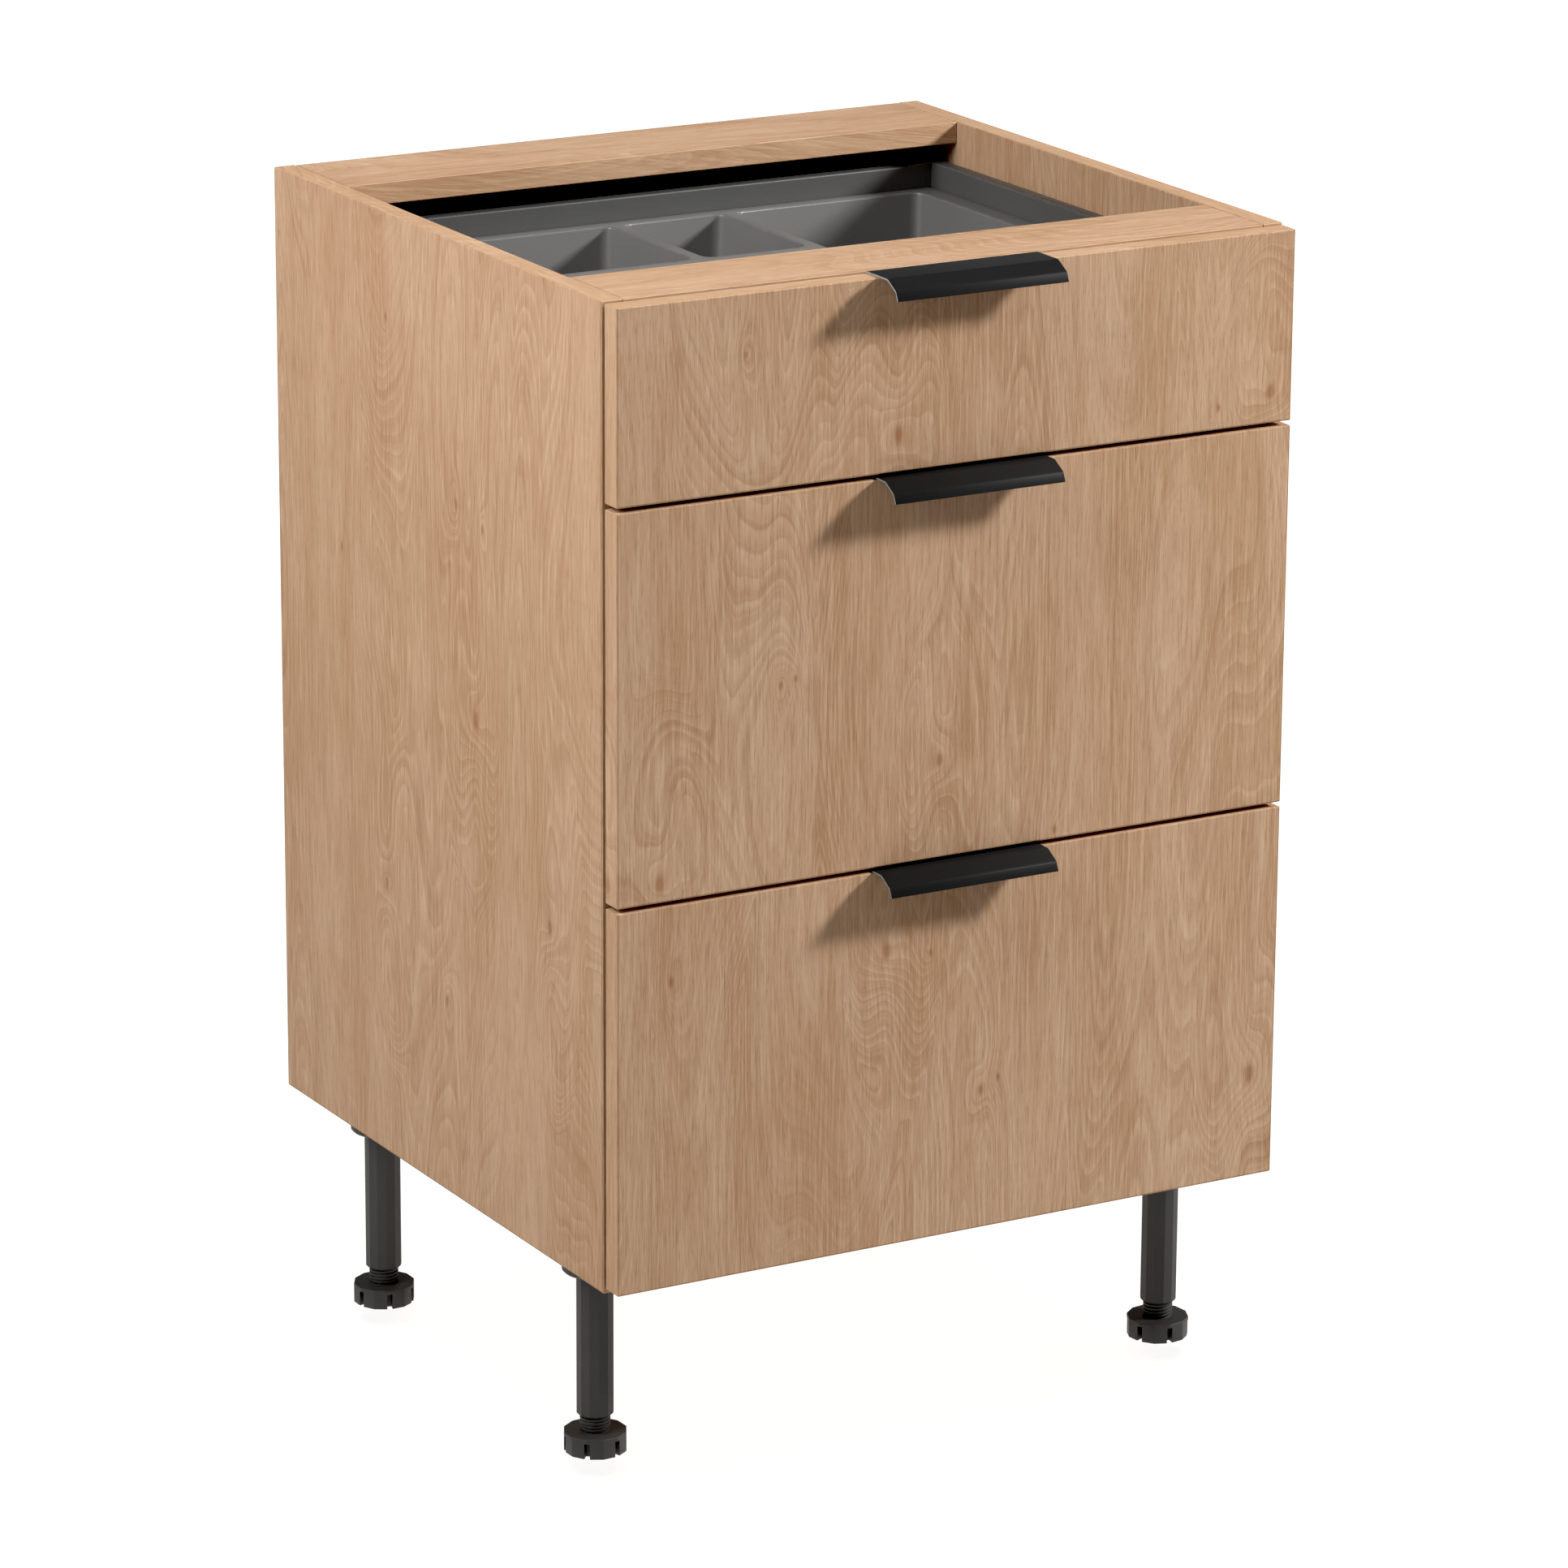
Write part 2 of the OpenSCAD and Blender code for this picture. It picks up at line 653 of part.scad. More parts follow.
module carriage_section() {
    a = channel_at + runner_t + run_gap;
    b = channel_at + channel_w - runner_t - run_gap;
    flange_t = channel_h - 2 * runner_t - 2 * run_gap;
    low = runner_t + run_gap;
    high = runner_h - runner_t - run_gap;
    mid = (a + b) / 2;
    polygon([
        [a, low], [b, low], [b, low + flange_t], [mid + web_t / 2, low + flange_t],
        [mid + web_t / 2, high - flange_t], [b, high - flange_t], [b, high], [a, high],
        [a, high - flange_t], [mid - web_t / 2, high - flange_t],
        [mid - web_t / 2, low + flange_t], [a, low + flange_t]
    ]);
}

// Sweeps a runner section along Y on the right-hand side of the carcass
module runner_part(i, y, l) {
    translate([inner_w / 2, y + l, runner_z(i)]) rotate([90, 0, 0]) linear_extrude(l)
        mirror([1, 0, 0]) children();
}

module runner_rails(i) {
    color(zinc) placed() for (side = [left, right]) on_side(side) difference() {
        runner_part(i, runner_setback, rail_l) rail_section();
        for (y = runner_screw_ys)
            rod_x(inner_w / 2 - runner_t - eps, y, runner_z(i) + runner_screw_z,
                euro_d / 2 + hole_clear, runner_t + 2 * eps);
    }
}

module runner_carriages(i) {
    color(zinc) placed() for (side = [left, right]) on_side(side)
        runner_part(i, runner_setback, slide_l) carriage_section();
}

module runner_slides(i) {
    color(zinc) placed() for (side = [left, right]) on_side(side)
        runner_part(i, runner_setback, slide_l) channel_section(runner_h - runner_t, false);
}

module runner_screws() {
    color(zinc) placed() for (side = [left, right], i = [top, middle, bottom], y = runner_screw_ys)
        on_side(side) translate([inner_w / 2 - runner_t, y, runner_z(i) + runner_screw_z])
            rotate([0, 90, 0]) rotate_extrude() polygon([
                [0, -euro_head_h], [euro_head_d / 2 - euro_head_h / 2, -euro_head_h], [euro_head_d / 2, 0],
                [euro_d / 2, 0], [euro_d / 2, runner_t + euro_in - 1],
                [euro_d / 2 - 1, runner_t + euro_in], [0, runner_t + euro_in]
            ]);
}

// Where the screws of a front go in: across, and up from the front's lower edge
function front_screw_spots(i) = concat(
    [for (s = [-1, 1]) [s * handle_screw_pitch / 2, front_h(i) + handle_screw_z, handle_t]],
    [for (s = [-1, 1], t = [-1, 1]) [
        s * (box_w - side_t) / 2,
        box_z(i) + bracket_z + bracket_h / 2 + t * bracket_screw_pitch / 2 - front_z(i),
        bracket_t
    ]]
);

module drawer_front(i) {
    color(oak_front) placed() difference() {
        translate([-front_w / 2, -front_gap - front_t, front_z(i)]) board(front_w, front_t, front_h(i));
        for (p = front_screw_spots(i))
            translate([p[0], -front_gap, front_z(i) + p[1]]) rotate([90, 0, 0]) pilot_hole();
    }
}

module front_screws(i) {
    color(zinc) placed() for (p = front_screw_spots(i))
        translate([p[0], -front_gap + p[2], front_z(i) + p[1]]) rotate([90, 0, 0]) screw(p[2]);
}

// Unit vector from one point to the next
function toward(p, q) = (q - p) / norm(q - p);

// Points of the arc that rounds corner q between p and r
function rounded(p, q, r, radius) =
    let (
        u = toward(q, p), v = toward(q, r),
        half = acos(u * v) / 2,
        centre = q + (u + v) / norm(u + v) * radius / sin(half),
        start = q + u * radius / tan(half) - centre,
        stop = q + v * radius / tan(half) - centre,
        a0 = atan2(start[1], start[0]),
        turn = (start[0] * stop[1] - start[1] * stop[0]) > 0 ? 180 - 2 * half : 2 * half - 180
    )
    [for (k = [0 : 6]) centre + radius * [cos(a0 + turn * k / 6), sin(a0 + turn * k / 6)]];

// The line with every inner corner rounded
function bent(line, radius) = concat(
    [line[0]],
    [for (k = [1 : len(line) - 2]) each rounded(line[k - 1], line[k], line[k + 1], radius)],
    [line[len(line) - 1]]
);

// One edge of a strip of the given half width along the line
function edge_of(line, half) = [for (k = [0 : len(line) - 1])
    let (
        a = line[max(k - 1, 0)], b = line[min(k + 1, len(line) - 1)],
        d = toward(a, b)
    )
    line[k] + half * [-d[1], d[0]]];

module handle(i) {
    line = bent(handle_line, bend_r);
    back = edge_of(line, -handle_t / 2);
    outline = concat(edge_of(line, handle_t / 2), [for (k = [len(back) - 1 : -1 : 0]) back[k]]);
    color(black_metal) placed() translate([0, -front_gap, front_z(i) + front_h(i)]) difference() {
        translate([handle_w / 2, 0, 0]) rotate([90, 0, -90]) linear_extrude(handle_w) polygon(outline);
        for (s = [-1, 1]) translate([s * handle_screw_pitch / 2, handle_t, handle_screw_z])
            rotate([90, 0, 0]) screw_hole(handle_t);
    }
}

// Quarter of a circle round the given centre, from the start angle on
function arc_points(centre, r, start) = [for (k = [0 : arc_steps])
    let (a = start + 90 * k / arc_steps)
    centre + r * [cos(a), sin(a)]];

// Section of a drawer side, from its outer face inwards: two walls, a grooved rim and a ledge
module side_section(h) {
    g = rim_groove_at;
    difference() {
        polygon(concat(
            [[0, 0], [ledge_w, 0], [ledge_w, sheet_t], [side_t, sheet_t]],
            arc_points([side_t - rim_round, h - rim_round], rim_round, 0),
            [
                [g + rim_groove_w, h], [g + rim_groove_w, h - rim_groove_depth],
                [g, h - rim_groove_depth], [g, h]
            ],
            arc_points([rim_round, h - rim_round], rim_round, 90)
        ));
        translate([sheet_t, sheet_t]) square([
            side_t - 2 * sheet_t, h - 2 * sheet_t - rim_round - rim_groove_depth
        ]);
    }
}

module drawer_side(side, i) {
    color(grey_steel) placed() on_side(side) translate([box_w / 2, box_y + box_l, box_z(i)])
        rotate([90, 0, 0]) linear_extrude(box_l) mirror([1, 0, 0]) side_section(side_h(i));
}

module drawer_bottom(i) {
    color(grey_board) placed() translate([-box_inner_w / 2, box_y, box_z(i) + sheet_t])
        cube([box_inner_w, box_l, bottom_t]);
}

// Folded sheet section of a drawer back: front wall, rounded top and rear wall
module back_section(h) {
    difference() {
        polygon(concat(
            [[0, 0], [back_t, 0]],
            arc_points([back_t - rim_round, h - rim_round], rim_round, 0),
            arc_points([rim_round, h - rim_round], rim_round, 90)
        ));
        translate([sheet_t, -eps]) square([back_t - 2 * sheet_t, h - sheet_t - rim_round + eps]);
    }
}

module drawer_back(i) {
    w = box_inner_w - 2 * post_w;
    color(grey_steel) placed() translate([-w / 2, box_back_y, floor_z(i)])
        rotate([90, 0, 90]) linear_extrude(w) back_section(back_h(i));
}

// Hollow corner posts that join the drawer back to its sides, open at the back
module back_corners(i) {
    h = back_h(i) + post_rise;
    wall = 1.5;
    color(grey_steel) placed() for (side = [left, right]) on_side(side)
        translate([box_inner_w / 2 - post_w, box_back_y, floor_z(i)]) difference() {
            rotate([90, 0, 90]) linear_extrude(post_w) polygon(concat(
                [[0, 0], [back_t, 0]],
                arc_points([back_t - rim_round, h - rim_round], rim_round, 0),
                arc_points([rim_round, h - rim_round], rim_round, 90)
            ));
            translate([wall, wall + rim_round, -eps])
                cube([post_w - 2 * wall, back_t, h - wall - rim_round + eps]);
        }
}

// Angle brackets that sit in the open front ends of the steel sides
module front_brackets(i) {
    w = side_t - 2 * sheet_t;
    color(zinc) placed() for (side = [left, right]) on_side(side)
        translate([box_w / 2 - sheet_t, box_y, box_z(i) + bracket_z]) difference() {
            linear_extrude(bracket_h) mirror([1, 0, 0]) polygon([
                [0, 0], [w, 0], [w, bracket_l], [w - bracket_t / 2, bracket_l],
                [w - bracket_t / 2, bracket_t], [0, bracket_t]
            ]);
            for (t = [-1, 1])
                translate([-w / 2, bracket_t, bracket_h / 2 + t * bracket_screw_pitch / 2])
                    rotate([90, 0, 0]) screw_hole(bracket_t);
        }
}

// Outline with rounded corners, drawn in by the given inset
function round_outline(w, l, r, inset) = concat(
    arc_points([w - r, l - r], r - inset, 0),
    arc_points([r, l - r], r - inset, 90),
    arc_points([r, r], r - inset, 180),
    arc_points([w - r, r], r - inset, 270)
);

// Section through a compartment: drafted walls that turn into the floor; grow gives its outer skin
function pocket_section(w, grow, z_top) =
    let (
        r = tray_floor_r + grow,
        z = tray_t - grow + r,
        x = tray_draft - grow + r
    )
    concat(
        [[-grow, z_top]],
        arc_points([x, z], r, 180),
        arc_points([w - x, z], r, 270),
        [[w + grow, z_top]]
    );

// Body of one compartment: the two sections crossed, and its upright corners rounded
module compartment(c, grow) {
    z_top = grow > 0 ? tray_h - tray_t / 2 : tray_h + eps;
    over = grow + tray_t;
    play = 0.1;
    translate([c[0], c[1], 0]) intersection() {
        translate([0, c[3] + over, 0]) rotate([90, 0, 0])
            linear_extrude(c[3] + 2 * over) polygon(pocket_section(c[2], grow, z_top));
        translate([-over, 0, 0]) rotate([90, 0, 90])
            linear_extrude(c[2] + 2 * over) polygon(pocket_section(c[3], grow, z_top));
        translate([0, 0, -tray_t]) linear_extrude(tray_h + 2 * tray_t)
            polygon(round_outline(c[2], c[3], tray_corner_r, -grow - play));
    }
}

// Thin slice of a compartment's mouth at the given height
module slice(c, inset, z) {
    translate([c[0], c[1], z]) linear_extrude(eps)
        polygon(round_outline(c[2], c[3], tray_corner_r, inset));
}

// Rounded arris round the mouth of one compartment
module mouth(c) {
    arc_mid = 1 - cos(45);
    hull() {
        slice(c, 0, tray_h - tray_arris);
        slice(c, -tray_arris * arc_mid, tray_h - tray_arris * arc_mid);
        slice(c, -tray_arris, tray_h);
    }
}

// Moulded tray: a rim with a skirt, and six compartments hanging from it
module cutlery_tray() {
    rim_r = 2 * tray_t;
    color(grey_plastic) placed() translate([-tray_w / 2, tray_y, tray_z]) difference() {
        union() {
            translate([0, 0, tray_h - tray_t]) linear_extrude(tray_t)
                polygon(round_outline(tray_w, tray_l, rim_r, 0));
            translate([0, 0, tray_h - tray_skirt]) linear_extrude(tray_skirt) difference() {
                polygon(round_outline(tray_w, tray_l, rim_r, 0));
                polygon(round_outline(tray_w, tray_l, rim_r, tray_t));
            }
            for (c = cells) compartment(c, tray_t);
        }
        for (c = cells) {
            compartment(c, 0);
            mouth(c);
        }
    }
}

color(oak) placed() on_side(left) side_panel();  // side_panel_left
color(oak) placed() on_side(right) side_panel();  // side_panel_right
bottom_panel();
front_rail();
back_rail();
back_panel();
cam_bolts();
cam_housings();
wood_dowels();
leg_sockets();
leg_screws();
leg_stem(0);  // leg_stem_front_left
leg_stem(1);  // leg_stem_front_right
leg_stem(2);  // leg_stem_back_left
leg_stem(3);  // leg_stem_back_right
foot(0);  // foot_front_left
foot(1);  // foot_front_right
foot(2);  // foot_back_left
foot(3);  // foot_back_right
runner_rails(top);  // runner_rails_top
runner_rails(middle);  // runner_rails_middle
runner_rails(bottom);  // runner_rails_bottom
runner_screws();
runner_carriages(top);  // runner_carriages_top
runner_carriages(middle);  // runner_carriages_middle
runner_carriages(bottom);  // runner_carriages_bottom
drawer_front(top);  // drawer_front_top
drawer_front(middle);  // drawer_front_middle
drawer_front(bottom);  // drawer_front_bottom
handle(top);  // handle_top
handle(middle);  // handle_middle
handle(bottom);  // handle_bottom
front_screws(top);  // front_screws_top
front_screws(middle);  // front_screws_middle
front_screws(bottom);  // front_screws_bottom
front_brackets(top);  // front_brackets_top
front_brackets(middle);  // front_brackets_middle
front_brackets(bottom);  // front_brackets_bottom
drawer_side(left, top);  // drawer_side_left_top
drawer_side(left, middle);  // drawer_side_left_middle
drawer_side(left, bottom);  // drawer_side_left_bottom
drawer_side(right, top);  // drawer_side_right_top
drawer_side(right, middle);  // drawer_side_right_middle
drawer_side(right, bottom);  // drawer_side_right_bottom
drawer_bottom(top);  // drawer_bottom_top
drawer_bottom(middle);  // drawer_bottom_middle
drawer_bottom(bottom);  // drawer_bottom_bottom
drawer_back(top);  // drawer_back_top
drawer_back(middle);  // drawer_back_middle
drawer_back(bottom);  // drawer_back_bottom
back_corners(top);  // back_corners_top
back_corners(middle);  // back_corners_middle
back_corners(bottom);  // back_corners_bottom
runner_slides(top);  // runner_slides_top
runner_slides(middle);  // runner_slides_middle
runner_slides(bottom);  // runner_slides_bottom
cutlery_tray();
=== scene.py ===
import math

import bmesh
import bpy
from mathutils import Matrix, Vector


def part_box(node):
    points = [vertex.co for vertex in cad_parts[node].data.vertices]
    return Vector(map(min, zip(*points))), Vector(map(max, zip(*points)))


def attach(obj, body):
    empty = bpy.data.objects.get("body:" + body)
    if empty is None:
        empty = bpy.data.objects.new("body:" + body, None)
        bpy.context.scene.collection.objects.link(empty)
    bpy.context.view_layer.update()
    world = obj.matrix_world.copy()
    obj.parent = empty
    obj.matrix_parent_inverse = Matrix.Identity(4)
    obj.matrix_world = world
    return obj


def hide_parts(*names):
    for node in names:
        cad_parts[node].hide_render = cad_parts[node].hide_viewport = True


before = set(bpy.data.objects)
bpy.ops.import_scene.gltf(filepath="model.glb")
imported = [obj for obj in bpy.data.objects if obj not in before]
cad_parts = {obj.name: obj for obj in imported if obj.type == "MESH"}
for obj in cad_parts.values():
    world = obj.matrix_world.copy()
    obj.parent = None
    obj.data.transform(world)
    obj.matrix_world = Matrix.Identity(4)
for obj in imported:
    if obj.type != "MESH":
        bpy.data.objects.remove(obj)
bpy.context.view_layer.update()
bpy.ops.object.select_all(action="DESELECT")

# Camera
# It stands in front of the cabinet's left corner, a little above its top, and looks slightly down.
# The lens is long, so upright edges stay nearly parallel. The black level deepens the dark tones.
scene = bpy.context.scene
picture = scene.view_settings
picture.view_transform = "Standard"
picture.use_curve_mapping = True
picture.curve_mapping.black_level = (0.012, 0.012, 0.012)
picture.curve_mapping.update()
camera = bpy.data.objects.new("camera", bpy.data.cameras.new("camera"))
scene.collection.objects.link(camera)
camera.data.sensor_width = 36
camera.data.lens = 158.6
camera.data.clip_end = 80
turned_right, looks_down, rolled = 29.557, 16.607, 0.339
camera.matrix_world = (
    Matrix.Translation((-2.6356, -4.6515, 2.0591))
    @ Matrix.Rotation(math.radians(-turned_right), 4, "Z")
    @ Matrix.Rotation(math.radians(90 - looks_down), 4, "X")
    @ Matrix.Rotation(math.radians(rolled), 4, "Z")
)
scene.camera = camera


# Studio
# A pale floor with a shadowless wash of its own. Four softboxes light the cabinet and are flagged
# off the floor, so no long shadow crosses it: the key at the right front, a fill at the left, a
# weak one behind, and one from below in place of the floor's glow.
def paint_stage(piece, name, **values):
    """Plain paint for the set. The values are the shader's sockets, with _ for a space."""
    paint = bpy.data.materials.new(name)
    paint.use_nodes = True
    sockets = paint.node_tree.nodes["Principled BSDF"].inputs
    for socket, value in values.items():
        sockets[socket.replace("_", " ")].default_value = value
    piece.data.materials.append(paint)
    return paint


world = bpy.data.worlds.new("studio")
scene.world = world
world.use_nodes = True
world.node_tree.nodes["Background"].inputs["Color"].default_value = (1, 1, 1, 1)
world.node_tree.nodes["Background"].inputs["Strength"].default_value = 0.08

# The floor lies low, because the feet can be screwed out by 15 mm while the cabinet stays put
floor_level = -0.0155
bpy.ops.mesh.primitive_plane_add(size=60, location=(0, 0, floor_level))
floor = bpy.context.object
floor.name = "floor"
paint_stage(floor, "pale_floor", Base_Color=(0.93, 0.93, 0.93, 1), Roughness=0.9)
floor.visible_diffuse = False

# A white wall far round it gives level views the same ground, and throws no light and no shadow
bpy.ops.mesh.primitive_cylinder_add(
    vertices=96, radius=29, depth=30, end_fill_type="NOTHING", location=(0, 0, 14))
backdrop = bpy.context.object
backdrop.name = "backdrop"
white_paper = paint_stage(backdrop, "white_backdrop", Base_Color=(0, 0, 0, 1),
                          Emission_Color=(1, 1, 1, 1), Emission_Strength=1.05)
white_paper.cycles.emission_sampling = "NONE"
backdrop.visible_diffuse = backdrop.visible_glossy = backdrop.visible_shadow = False


def softbox(name, spot, aim, size, power):
    """Square studio light at the spot, turned towards the aim."""
    lamp = bpy.data.objects.new(name, bpy.data.lights.new(name, "AREA"))
    scene.collection.objects.link(lamp)
    lamp.data.shape = "SQUARE"
    lamp.data.size = size
    lamp.data.energy = power
    lamp.location = spot
    lamp.rotation_euler = (Vector(aim) - Vector(spot)).to_track_quat("-Z", "Y").to_euler()
    return lamp


def from_above(name, power, spread):
    """Wide light that falls straight down, with its spread in degrees."""
    lamp = bpy.data.objects.new(name, bpy.data.lights.new(name, "SUN"))
    scene.collection.objects.link(lamp)
    lamp.data.energy = power
    lamp.data.angle = math.radians(spread)
    return lamp


def flagged(lamp, state):
    """Collection that holds the floor, as left out of the lamp's light or as all that it lights."""
    group = bpy.data.collections.new(lamp.name + "_flag")
    group.objects.link(floor)
    group.collection_objects[0].light_linking.link_state = state
    return group


for lamp in (softbox("key_light", (3.1, -1.86, 2.7), (0, 0, 0.55), size=0.6, power=272),
             softbox("fill_light", (-2.0, -0.2, 2.3), (-0.2, 0, 0.6), size=1.4, power=76),
             softbox("edge_light", (2.0, 3.8, 2.1), (0, 0.28, 0.9), size=2.2, power=6)):
    lamp.light_linking.receiver_collection = flagged(lamp, "EXCLUDE")
from_above("overhead_light", power=0.38, spread=45).visible_glossy = False
bounce = softbox("bounce_light", (0, 0, -0.3), (0, 0, 0.5), size=9, power=205)
bounce.visible_glossy = False
wash = from_above("floor_wash", power=3.4, spread=70)
for lamp, state in ((bounce, "EXCLUDE"), (wash, "INCLUDE")):
    lamp.light_linking.receiver_collection = flagged(lamp, state)
    lamp.light_linking.blocker_collection = flagged(lamp, state)


# Carcass boards
# Side panels, bottom and two flat top rails are 18 mm chipboard with a printed oak-effect foil on
# both faces. Every visible edge has a 1 mm edge band ironed on. Its thin brown glue line is partly
# painted shade: it runs only along the sides and the lower end, where shade falls, and not along
# the top. Cams and dowels hold the boards together.
def tint(red, green, blue):
    """Colour from 0 to 255 steps, as it is seen, turned into the shader's linear values."""
    steps = [c / 255 for c in (red, green, blue)]
    return tuple(c / 12.92 if c <= 0.04045 else ((c + 0.055) / 1.055) ** 2.4 for c in steps) + (1,)


def add_node(tree, kind, *inputs, **settings):
    """Shader node whose inputs are sockets to link or values to set."""
    made = tree.nodes.new("ShaderNode" + kind)
    for setting, value in settings.items():
        setattr(made, setting, value)
    for number, value in enumerate(inputs):
        if isinstance(value, bpy.types.NodeSocket):
            tree.links.new(value, made.inputs[number])
        else:
            made.inputs[number].default_value = value
    return made


def calc(operation, *values, clamp=False):
    """Result of one operation on sockets and numbers, in the tree that the sockets belong to."""
    tree = next(value.id_data for value in values if isinstance(value, bpy.types.NodeSocket))
    return add_node(tree, "Math", *values, operation=operation, use_clamp=clamp).outputs[0]


def times(first, *others):
    """Product of all the values."""
    for other in others:
        first = calc("MULTIPLY", first, other)
    return first


def plus(first, second):
    return calc("ADD", first, second)


def minus(first, second):
    return calc("SUBTRACT", first, second)


def scaled(value, factor, start):
    """The start, and the factor times the value on top."""
    return calc("MULTIPLY_ADD", value, factor, start)


def choose(mask, first, second):
    """First where the mask is 0, second where it is 1."""
    return scaled(minus(second, first), mask, first)


def step(value, start, end):
    """0 up to the start and 1 from the end on, smooth between."""
    made = add_node(value.id_data, "MapRange", value, start, end, 0.0, 1.0,
                    interpolation_type="SMOOTHSTEP")
    return made.outputs[0]


def speckle(place, stretch, detail=2.0, roughness=0.5):
    """Noise over the place, with its own number of features to the metre on each axis."""
    tree = place.id_data
    spread = add_node(tree, "VectorMath", place, stretch, operation="MULTIPLY").outputs[0]
    noise = add_node(tree, "TexNoise", spread)
    for socket, value in (("Scale", 1), ("Detail", detail), ("Roughness", roughness),
                          ("Distortion", 0)):
        noise.inputs[socket].default_value = value
    return noise.outputs[0]


def blend_paint(amount, under, over):
    return add_node(amount.id_data, "MixRGB", amount, under, over, blend_type="MIX").outputs[0]


def new_paint(name):
    """Material, its shader node and the node that gives the place on the piece."""
    material = bpy.data.materials.new(name)
    material.use_nodes = True
    tree = material.node_tree
    return material, tree.nodes["Principled BSDF"], add_node(tree, "TexCoord").outputs


def link_paint(shader, colour, roughness, relief, strength, height):
    """Links a shader's colour, roughness and relief. The height of the relief is in metres."""
    tree = shader.id_data
    bump = add_node(tree, "Bump", strength, height)
    tree.links.new(relief, bump.inputs["Height"])
    for socket, source in (("Base Color", colour), ("Roughness", roughness),
                           ("Normal", bump.outputs[0])):
        tree.links.new(source, shader.inputs[socket])


def oak(name, node, thick, grain, seed, knots=(), edge_slant=0.0, figure=1.0):
    """Oak-effect foil for one board. thick and grain are the axes of its thickness and its grain,
    and each knot is its place across and along the grain and its radius, in metres."""
    other = 3 - thick - grain
    low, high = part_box(node)
    material, shader, coordinates = new_paint(name)
    tree = shader.id_data
    xyz = add_node(tree, "SeparateXYZ", coordinates["Object"]).outputs
    facing = add_node(tree, "SeparateXYZ", coordinates["Normal"]).outputs
    on_end, on_long_edge = (calc("GREATER_THAN", calc("ABSOLUTE", facing[axis]), 0.75)
                            for axis in (grain, other))
    on_edge = calc("MAXIMUM", on_end, on_long_edge)

    # The foil's own coordinates: bands on the edges run lengthways
    along = choose(on_end, xyz[grain], xyz[other])
    flat_across = choose(on_edge, xyz[other], xyz[thick])
    across = scaled(along, times(on_edge, edge_slant), flat_across)
    place = add_node(tree, "CombineXYZ", plus(across, seed * 1.7), along, seed).outputs[0]

    # Growth rings follow each other in depth. They run straight up the board and meet in pointed
    # arches along slow, wandering folds. They swell round a knot, and a large one draws the fold.
    rings_to_the_metre, wander, ripple = 310.0, 0.22 * figure, 0.0017
    fold_slope, fold_round = 0.3, 0.000012
    swell_share, swell_fall, heart_fall = 1.7, 0.20, 12.0
    large_knot, draw_width, draw_height, draw_slope, draw_rise = 0.009, 17.0, 5.5, 2.1, 0.10
    beside = minus(speckle(place, (7.5, 0.9, 4.0), 1.0, 0.4), 0.5)
    lean = times(speckle(place, (2.2, 1.3, 2.0), 1.0, 0.4), wander)
    drift = times(speckle(place, (60.0, 9.0, 1.0), 2.0, 0.5), ripple)
    core = 0.0
    for knot_across, knot_along, radius in knots:
        away, above = minus(across, knot_across), minus(along, knot_along)
        aside, ahead = calc("DIVIDE", away, radius), calc("DIVIDE", above, 2 * radius)
        apart = scaled(aside, aside, times(ahead, ahead))
        swell = calc("DIVIDE", 1.0, scaled(apart, swell_fall, 1.0))
        drift = scaled(times(swell, swell), swell_share * radius, drift)
        core = calc("MAXIMUM", core, calc("DIVIDE", 1.0, scaled(apart, heart_fall, 1.0)))
        if radius >= large_knot:
            wide, tall = times(away, draw_width), times(above, draw_height)
            near = step(scaled(wide, wide, times(tall, tall)), 1.0, 0.1)
            beside = choose(near, beside, times(away, draw_slope))
            drift = scaled(times(near, above), draw_rise, drift)
    flank = times(beside, fold_slope)
    fold = calc("SQRT", scaled(flank, flank, fold_round))
    depth = plus(fold, plus(lean, drift))

    # Each ring darkens slowly and then ends at once, with a pale line behind the end
    turn = calc("FRACT", times(depth, rings_to_the_metre))
    ring = calc("POWER", turn, 2.6)
    grown = add_node(tree, "CombineXYZ", depth, along, seed).outputs[0]
    season = step(speckle(grown, (560.0, 3.0, 1.0), 2.5, 0.6), 0.42, 0.72)
    streak = step(speckle(grown, (130.0, 1.2, 1.0), 2.0, 0.55), 0.40, 0.75)
    clearness = step(calc("ABSOLUTE", beside), 0.16, 0.03)

    # Fibres, threads and pores follow the grain and bend only a little round the knots
    bent = scaled(drift, 0.25, across)
    fibres_at = add_node(tree, "CombineXYZ", bent, along, seed).outputs[0]
    fibre = speckle(fibres_at, (1000.0, 45.0, 1.0), 3.0, 0.7)
    thread = speckle(fibres_at, (480.0, 14.0, 1.0), 2.5, 0.6)
    pore = step(speckle(fibres_at, (1500.0, 110.0, 1.0), 1.0), 0.58, 0.72)

    # The threads break up the pale line: it sets in at once behind the ring's end and fades slowly
    set_in, fading = calc("MULTIPLY", turn, 9.0, clamp=True), calc("POWER", minus(1.0, turn), 4.0)
    pale = times(set_in, fading, step(thread, 0.66, 0.40))

    # Edge bands: along the sides and the lower end their thickness shows, with a thin brown line
    # there that is a glue line and also painted shade; the top end, where the light falls, has none
    band_thickness, glue_shade_at, half_glue_shade = 0.0008, 0.00105, 0.0003
    nearest = minus(xyz[grain], low[grain])
    for gap in (minus(xyz[other], low[other]), minus(high[other], xyz[other])):
        nearest = calc("MINIMUM", nearest, gap)
    band = calc("MAXIMUM", calc("LESS_THAN", nearest, band_thickness), on_edge)
    off_glue_shade = calc("ABSOLUTE", minus(nearest, glue_shade_at))
    glue_shade = times(calc("LESS_THAN", off_glue_shade, half_glue_shade), minus(1.0, on_edge))

